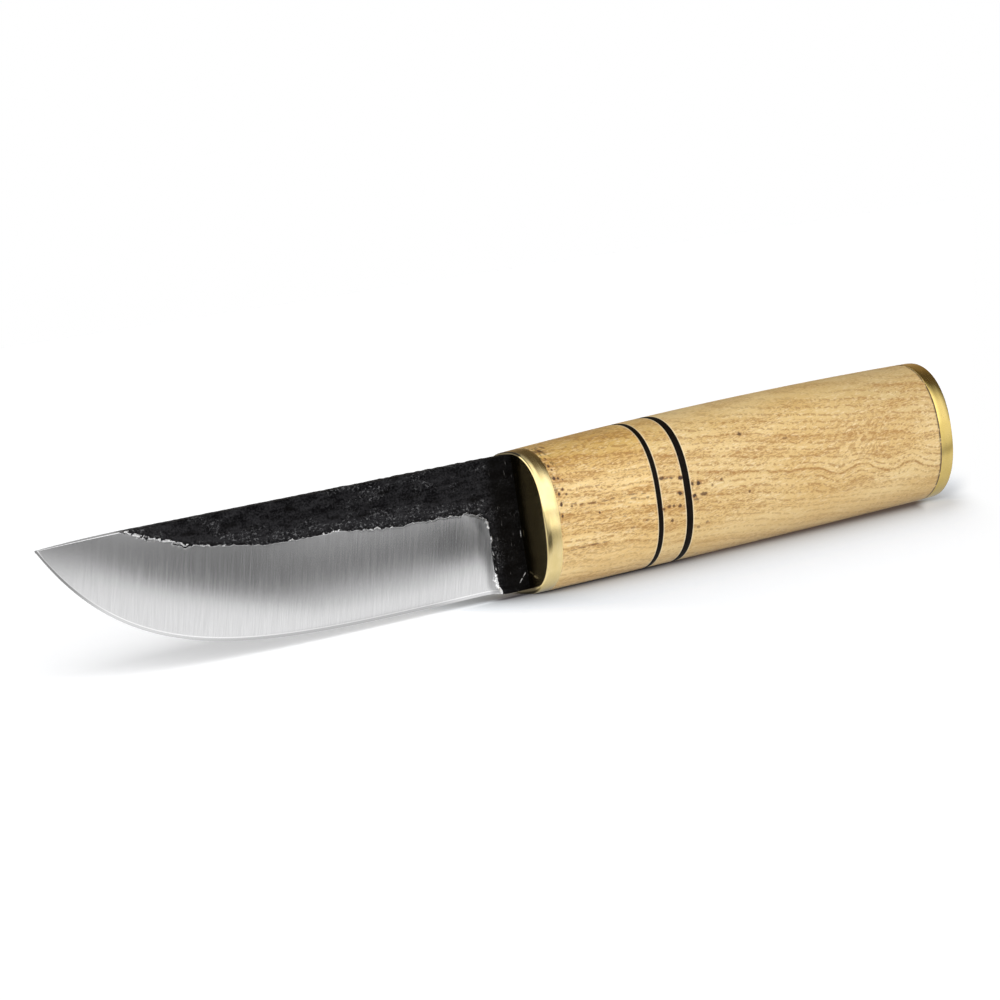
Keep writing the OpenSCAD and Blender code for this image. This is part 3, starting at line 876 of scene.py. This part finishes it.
def woodFinish(name, block):
    finish, tree, shader = newFinish(name)
    times, plus, less, offFrom = sums(tree)
    shift, contrast = block["shift"], block["contrast"]
    place = millimetres(tree)
    x, y, z = addNode(tree, "ShaderNodeSeparateXYZ", {0: place}).outputs
    x = less(x, bolsterX)

    def pattern(perMm, turn=0.0, detail=2.0, rough=0.5, seed=0.0):
        moved = (shift * 13.0 + seed, seed * 1.7, seed * 0.6)
        return grainAt(tree, stretched(tree, place, perMm, (0, turn, 0), moved), detail, rough)

    heartY, heartZ = wood["heart"]
    dy, dz = less(y, heartY), less(z, heartZ)
    radius = calc(tree, "SQRT", plus(times(dy, dy), times(dz, dz)))
    for sizes, high, seed in wood["wobble"]:
        radius = plus(radius, times(pattern(sizes, seed=seed), high))
    curlAt, curlLong, curlHigh = wood["curl"]
    wave = calc(tree, "SINE", times(plus(x, -curlAt), 2 * math.pi / curlLong))
    curled = times(fadeTo(tree, x, curlAt - 14.0, curlAt - 4.0), fadeTo(tree, offFrom(z, 10.5), 4.5, 1.5))
    curled = times(curled, -curlHigh)
    radius = plus(plus(radius, times(x, block["slope"])), times(wave, curled))
    rings = calc(tree, "DIVIDE", plus(radius, shift), wood["ringWide"])
    phase = calc(tree, "FRACT", rings)
    yearDraw = calc(tree, "SINE", times(calc(tree, "FLOOR", rings), 12.9898))
    yearDraw = calc(tree, "FRACT", times(yearDraw, 43.758))  # each ring has its own strength
    line = times(fadeTo(tree, phase, 0.45, 0.97), 0.8)
    line = calc(tree, "MAXIMUM", line, fadeTo(tree, phase, 0.14, 0.01))
    line = times(line, rangeTo(tree, yearDraw, 0.35, 1.0))
    between = fadeTo(tree, offFrom(calc(tree, "FRACT", times(rings, 2.4)), 0.5), 0.22, 0.06)
    strong = fadeTo(tree, offFrom(rings, block["strongRing"]), 0.08, 0.015)

    clouds = fadeTo(tree, pattern((0.05, 0.10, 0.10), detail=3.0, seed=5.0), 0.32, 0.68)
    fibres = pattern((0.16, 2.2, 2.6), 6, 3.0, 0.6, 9.0)
    bands = fadeTo(tree, pattern((0.045, 0.30, 0.34), 3, 2.0, 0.5, 12.0), 0.36, 0.64)
    loose = plus(times(line, 0.10), times(bands, 0.10))
    dots = fadeTo(tree, pattern((1.2, 1.0, 1.0), 10, 1.0, 0.5, 1.0), 0.42, 0.56)
    dashes = fadeTo(tree, plus(pattern((0.75, 2.6, 3.6), 6, 2.0, 0.5, 2.0), loose), 0.62, 0.74)
    flecks = fadeTo(tree, plus(pattern((1.3, 3.6, 4.6), 6, 2.0, 0.5, 4.0), loose), 0.61, 0.72)
    pale = fadeTo(tree, pattern((0.65, 2.6, 3.6), 6, 2.0, 0.5, 6.0), 0.50, 0.68)
    steep = fadeTo(tree, pattern((0.6, 1.6, 1.8), 40, 2.0, 0.5, 3.0), 0.50, 0.60)
    rippleX, rippleZ = wood["ripple"]
    steep = times(steep, fadeTo(tree, offFrom(x, rippleX), 13.0, 4.0))
    steep = times(steep, fadeTo(tree, offFrom(z, rippleZ), 7.0, 2.0))

    middle, light = ([c * block["lift"] for c in wood[shade]] for shade in ("middle", "light"))
    colour = tint(tree, clouds, middle, light)
    # darker and warmer towards the top: partly the wood's own tone, partly painted shade
    colour = tint(tree, times(fadeTo(tree, z, 18.0, 28.0), block["warmTop"]), colour, wood["warm"])
    atRear = times(fadeTo(tree, x, 66.0, 98.0), fadeTo(tree, z, 14.0, 26.0))
    colour = tint(tree, atRear, colour, wood["rear"], "MULTIPLY")
    colour = tint(tree, times(fadeTo(tree, fibres, 0.62, 0.36), 0.35), colour, wood["middle"])
    bare = rangeTo(tree, fadeTo(tree, z, 3.0, 11.0), 0.45, 1.0)  # plainer low on the side
    plain = rangeTo(tree, fadeTo(tree, z, 29.5, 25.5), block["plainTop"], 1.0)  # and along the top
    bare = times(bare, plain)

    def mark(amount, shade, strength):
        part = calc(tree, "MULTIPLY", times(amount, bare), strength * contrast, True)
        return tint(tree, part, colour, wood[shade])

    for amount, shade, strength in (
        (bands, "ringLine", 0.19 * block["broad"]), (pale, "pale", 0.36),
        (line, "ringLine", 0.28 * block["broad"]), (times(between, dots), "dash", 0.56),
        (flecks, "dash", 0.48), (dashes, "dash", 0.42), (steep, "dash", 0.44),
        (strong, "dash", 0.28), (times(strong, dots), "dash", 0.35),
    ):
        colour = mark(amount, shade, strength)
    for joint, rubbed in joints:  # a pale line beside each liner, painted highlight, and dust darkening the joint
        away = offFrom(x, joint)
        colour = tint(tree, times(fadeTo(tree, away, 0.46, 0.24), 0.6), colour, wood["pale"])
        colour = tint(tree, fadeTo(tree, away, rubbed + 0.04, rubbed - 0.03), colour, wood["dust"])
    blots = pattern((1.2, 1.2, 1.2), 0, 2.0, 0.55, 8.0)
    ragged = times(plus(blots, -0.5), 2.4)
    for atX, atZ, halfLong, halfHigh, amount in block["pores"]:
        dx = calc(tree, "DIVIDE", plus(x, -atX), halfLong)
        dz = calc(tree, "DIVIDE", plus(z, -atZ), halfHigh)
        away = plus(calc(tree, "SQRT", plus(times(dx, dx), times(dz, dz))), ragged)
        colour = tint(tree, times(fadeTo(tree, away, 1.7, 1.0), 0.75 * amount), colour, wood["poreRim"])
        colour = tint(tree, times(fadeTo(tree, away, 1.2, 0.7), amount), colour, wood["pore"])
    patches = pattern((0.9, 0.75, 0.75), 0, 3.0, 0.6, 10.0)
    for at, reach, lowZ, highZ, need, amount in block["stains"]:
        close = fadeTo(tree, offFrom(x, at), reach, 0.3 * reach)
        close = times(close, fadeTo(tree, z, lowZ - 1.0, lowZ + 1.0))
        close = times(close, fadeTo(tree, z, highZ + 1.0, highZ - 1.0))
        stain = times(times(close, fadeTo(tree, patches, need, need + 0.08)), amount)
        colour = tint(tree, stain, colour, wood["pore"])
    rough = plus(rangeTo(tree, fibres, *wood["rough"]), times(dashes, 0.10))
    setShader(tree, shader, colour=colour, rough=rough, shine=wood["shine"])
    relief = less(times(pale, 0.5), plus(dashes, times(flecks, 0.5)))
    bumpFrom(tree, shader, relief, wood["relief"], 0.5)
    return finish


fibreLook = {
    "black": ((0.003, 0.0018, 0.0011), (0.008, 0.005, 0.0034)),
    "rough": (0.42, 0.62),
    "shine": 0.06,
    "relief": 0.01,
}


def linerFinish():
    finish, tree, shader = newFinish("blackFibre")
    place = millimetres(tree)
    fibre = grainAt(tree, stretched(tree, place, (1.2, 1.2, 1.2)), 4.0, 0.6)
    lines = grainAt(tree, stretched(tree, place, (7.0, 0.5, 0.5)), 2.0, 0.5)
    colour = tint(tree, fadeTo(tree, fibre, 0.35, 0.7), *fibreLook["black"])
    rough = rangeTo(tree, lines, *fibreLook["rough"])
    setShader(tree, shader, colour=colour, rough=rough, shine=fibreLook["shine"])
    bumpFrom(tree, shader, fibre, fibreLook["relief"], 0.5)
    return finish


epoxyLook = {"amber": ((0.24, 0.17, 0.09), (0.38, 0.28, 0.16)), "rough": (0.3, 0.5), "relief": 0.02}


def beddingFinish():
    finish, tree, shader = newFinish("setEpoxy")
    cloud = grainAt(tree, stretched(tree, millimetres(tree), (0.4, 0.6, 0.6)), 4.0, 0.6)
    colour = tint(tree, fadeTo(tree, cloud, 0.3, 0.7), *epoxyLook["amber"])
    setShader(tree, shader, colour=colour, rough=rangeTo(tree, cloud, *epoxyLook["rough"]))
    bumpFrom(tree, shader, cloud, epoxyLook["relief"], 0.5)
    return finish


joints = [  # edges of the liners, and how far their dust is rubbed into the wood
    (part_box(node)[end].x / mm - bolsterX, rubbed)
    for node, rubbed in (("front_spacer", 0.12), ("rear_spacer", 0.09)) for end in (0, 1)
]
bolsterBrass = brassFinish("bolsterBrass", *brass["bolster"], True)
pommelBrass = brassFinish("pommelBrass", *brass["pommel"], False)
liner = linerFinish()
gap = handle["beddingGap"]
frontWood = woodFinish("frontWood", {
    "shift": 0.0,           # which part of the log
    "slope": 0.07,          # fall of the growth rings along the block
    "strongRing": 0.0,
    "warmTop": 0.80,        # darker and warmer along the top, partly the wood's own tone and partly painted shade
    "plainTop": 0.8,
    "contrast": 1.25,
    "broad": 1.4,           # strength of the broad streaks
    "lift": 1.15,
    "pores": (              # open pores: along, up, half length, half height and depth of colour
        (13.2, 14.0, 0.20, 0.20, 0.75), (16.9, 16.2, 0.45, 0.20, 0.50), (24.7, 10.5, 0.45, 0.20, 0.45),
        (21.7, 15.4, 0.60, 0.18, 0.40), (25.4, 15.0, 0.40, 0.16, 0.40), (19.2, 12.2, 0.50, 0.16, 0.35),
        (4.25, 24.9, 0.28, 0.26, 0.85), (4.6, 24.0, 0.24, 0.24, 0.80), (4.3, 22.4, 0.28, 0.34, 0.90),
        (5.25, 22.2, 0.28, 0.26, 0.80), (6.15, 21.8, 0.20, 0.18, 0.60), (4.4, 19.2, 0.28, 0.34, 0.90),
        (5.5, 20.0, 0.28, 0.28, 0.80), (6.15, 18.9, 0.24, 0.22, 0.70), (4.45, 17.15, 0.28, 0.36, 0.90),
        (6.85, 16.4, 0.26, 0.20, 0.60), (4.3, 14.9, 0.22, 0.34, 0.80), (4.6, 26.3, 0.30, 0.24, 0.75),
        (4.85, 27.8, 0.30, 0.24, 0.70), (6.45, 28.25, 0.30, 0.22, 0.55),
        (7.3, 16.8, 0.50, 0.14, 0.40), (9.2, 16.4, 0.60, 0.14, 0.45), (11.7, 16.2, 0.90, 0.15, 0.50),
        (14.8, 16.1, 1.00, 0.15, 0.45), (21.8, 16.2, 0.80, 0.14, 0.40), (24.5, 15.9, 0.80, 0.14, 0.40),
        (6.1, 7.8, 0.70, 0.14, 0.35), (8.3, 7.9, 0.90, 0.15, 0.45), (11.2, 8.0, 1.10, 0.17, 0.50),
        (14.0, 8.0, 0.70, 0.14, 0.40), (21.0, 9.6, 0.50, 0.14, 0.35), (15.5, 12.4, 0.40, 0.12, 0.30),
    ),
    "stains": (             # along, reach, lowest, highest, where they start and depth of colour
        (3.6, 2.2, 14.5, 26.0, 0.53, 0.45), (4.0, 3.0, 24.0, 30.0, 0.52, 0.6),
    ),
})
ringWood = woodFinish("ringWood", {
    "shift": 1.0,
    "slope": 0.08,
    "strongRing": 0.0,
    "warmTop": 0.45,
    "plainTop": 0.7,
    "contrast": 1.2,
    "broad": 1.3,
    "lift": 1.04,
    "pores": (
        (29.5, 18.1, 0.65, 0.28, 0.80), (30.7, 17.95, 0.60, 0.20, 0.50), (31.8, 17.85, 0.50, 0.24, 0.60),
        (34.2, 17.5, 0.50, 0.36, 0.95), (33.6, 14.4, 0.62, 0.38, 0.95), (29.1, 11.9, 0.36, 0.32, 0.75),
        (30.5, 12.2, 0.40, 0.26, 0.70), (31.6, 12.2, 0.42, 0.25, 0.75), (33.2, 11.95, 0.42, 0.29, 0.75),
        (31.0, 9.3, 0.44, 0.29, 0.75),
    ),
    "stains": (),
})
mainWood = woodFinish("mainWood", {
    "shift": 2.7,
    "slope": 0.135,
    "strongRing": 24.0,     # the ring that shows as a wavy line by the pommel
    "warmTop": 0.12,
    "plainTop": 0.5,
    "contrast": 1.12,
    "broad": 0.95,
    "lift": 1.02,
    "pores": (
        (37.0, 15.8, 0.40, 0.34, 0.85), (38.5, 15.65, 0.60, 0.37, 0.98), (37.1, 13.3, 0.62, 0.34, 0.98),
        (39.5, 13.3, 0.85, 0.30, 0.70), (37.4, 12.5, 0.60, 0.24, 0.55), (44.5, 15.4, 0.34, 0.27, 0.65),
        (42.0, 14.7, 0.34, 0.26, 0.50), (51.5, 11.8, 0.30, 0.24, 0.65), (51.8, 23.6, 0.62, 0.38, 0.75),
        (40.0, 7.4, 0.40, 0.24, 0.45), (37.8, 6.8, 0.45, 0.27, 0.40), (63.0, 21.0, 0.55, 0.20, 0.45),
    ),
    "stains": ((106.4, 0.7, -5.0, 40.0, 0.38, 0.9),),
})
stackPiece("bolsterPlate", "bolster", bolsterBrass, 0.3, 0.06, 0.0)
stackPiece("frontWoodBlock", "front_block", frontWood, 0.08, 0.06, gap)
stackPiece("frontLiner", "front_spacer", liner, 0.05, 0.05, gap)
stackPiece("woodRing", "handle_ring", ringWood, 0.06, 0.06, gap)
stackPiece("rearLiner", "rear_spacer", liner, 0.05, 0.05, gap)
stackPiece("mainWoodBlock", "main_block", mainWood, 0.06, 0.1, gap)
stackPiece("pommelPlate", "pommel_plate", pommelBrass, 0.06, 0.3, 0.0)
print("handle stack built")

bedding = beddingFinish()
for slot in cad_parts["tang_bedding"].material_slots:
    slot.material = bedding
print("bedding dressed")
